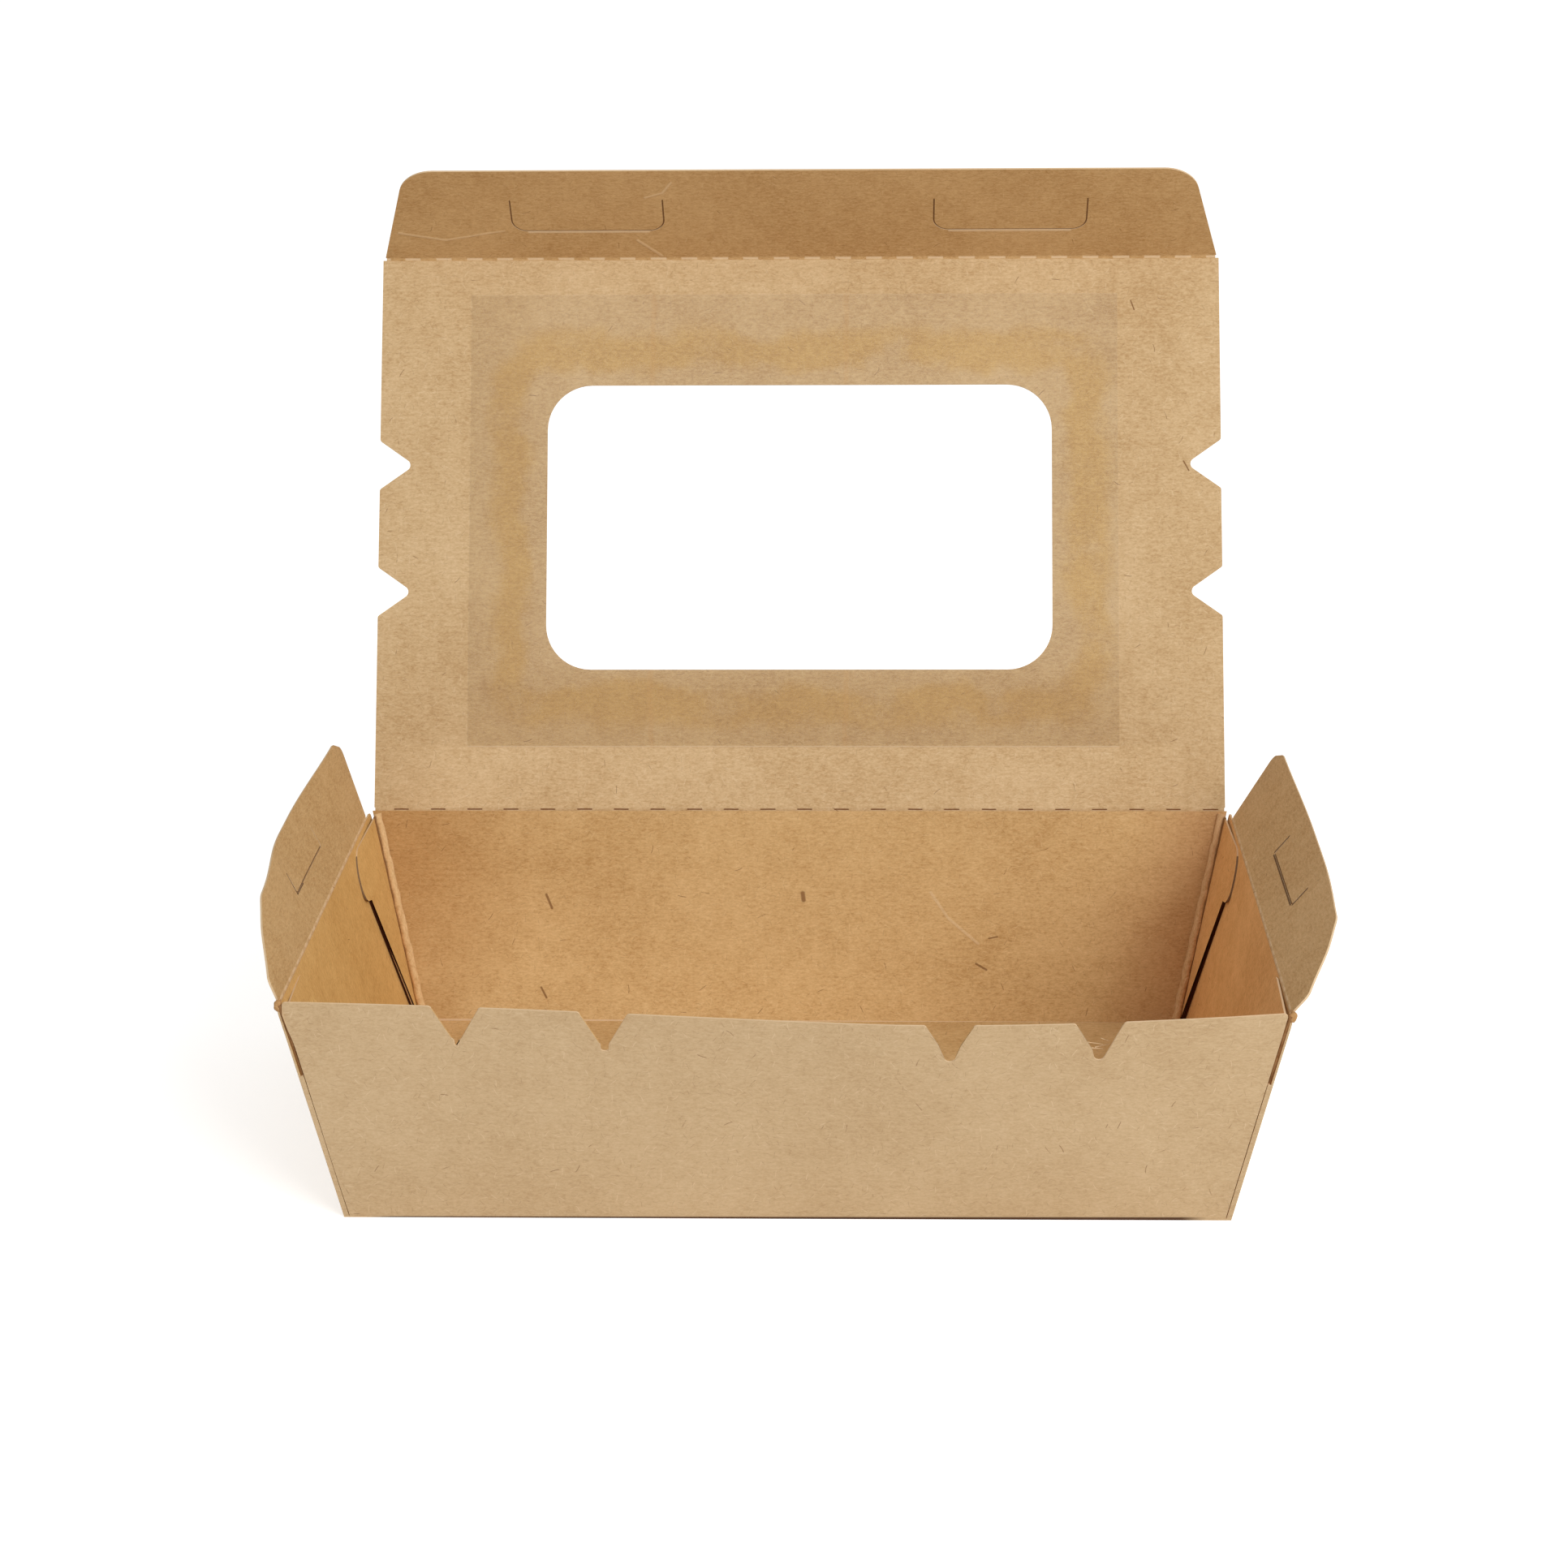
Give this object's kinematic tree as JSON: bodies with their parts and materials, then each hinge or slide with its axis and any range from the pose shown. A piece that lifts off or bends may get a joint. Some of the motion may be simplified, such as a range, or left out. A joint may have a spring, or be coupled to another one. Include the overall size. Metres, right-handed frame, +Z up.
{
  "type": "kraft takeaway box",
  "caption": "Open kraft board takeaway box with flared walls, a hinged window lid with a tuck flap, and fold-in side flaps.",
  "frame": {"origin": "middle of the tray's underside, on the surface that it stands on", "axes": "+X to the right along the long side, +Y from the front wall to the back wall with the lid, +Z up"},
  "size_m": [0.2233, 0.1865, 0.1944],
  "materials": {
    "tray_board": "uncoated brown kraft board, outer and inner face alike",
    "lid_board": "uncoated brown kraft board",
    "flap_board": "uncoated brown kraft board",
    "clear_film": "clear glossy film"
  },
  "bodies": {
    "tray": {"tray": "tray_board"},
    "lid": {"lid_panel": "lid_board", "window_film": "clear_film"},
    "tuck_flap": {"tuck_flap": "lid_board"},
    "left_side_flap": {"left_side_flap": "flap_board"},
    "right_side_flap": {"right_side_flap": "flap_board"}
  },
  "joints": [
    {"name": "lid_fold", "type": "hinge", "parent": "tray", "child": "lid", "pos_m": [0, 0.06609, 0.04949], "axis": [-1, 0, 0], "range_deg": [-112, 68]},
    {"name": "tuck_fold", "type": "hinge", "parent": "lid", "child": "tuck_flap", "pos_m": [0, 0.11523, 0.17111], "axis": [-1, 0, 0], "range_deg": [-42.6, 25.9]},
    {"name": "left_side_fold", "type": "hinge", "parent": "tray", "child": "left_side_flap", "pos_m": [-0.10054, 0, 0.04809], "axis": [0, -1, 0], "range_deg": [-118, 62]},
    {"name": "right_side_fold", "type": "hinge", "parent": "tray", "child": "right_side_flap", "pos_m": [0.10054, 0, 0.04809], "axis": [0, 1, 0], "range_deg": [-130, 50]}
  ],
  "couplings": [
    {"joint": "tuck_fold", "follows": "lid_fold", "ratio": 0.3795}
  ]
}
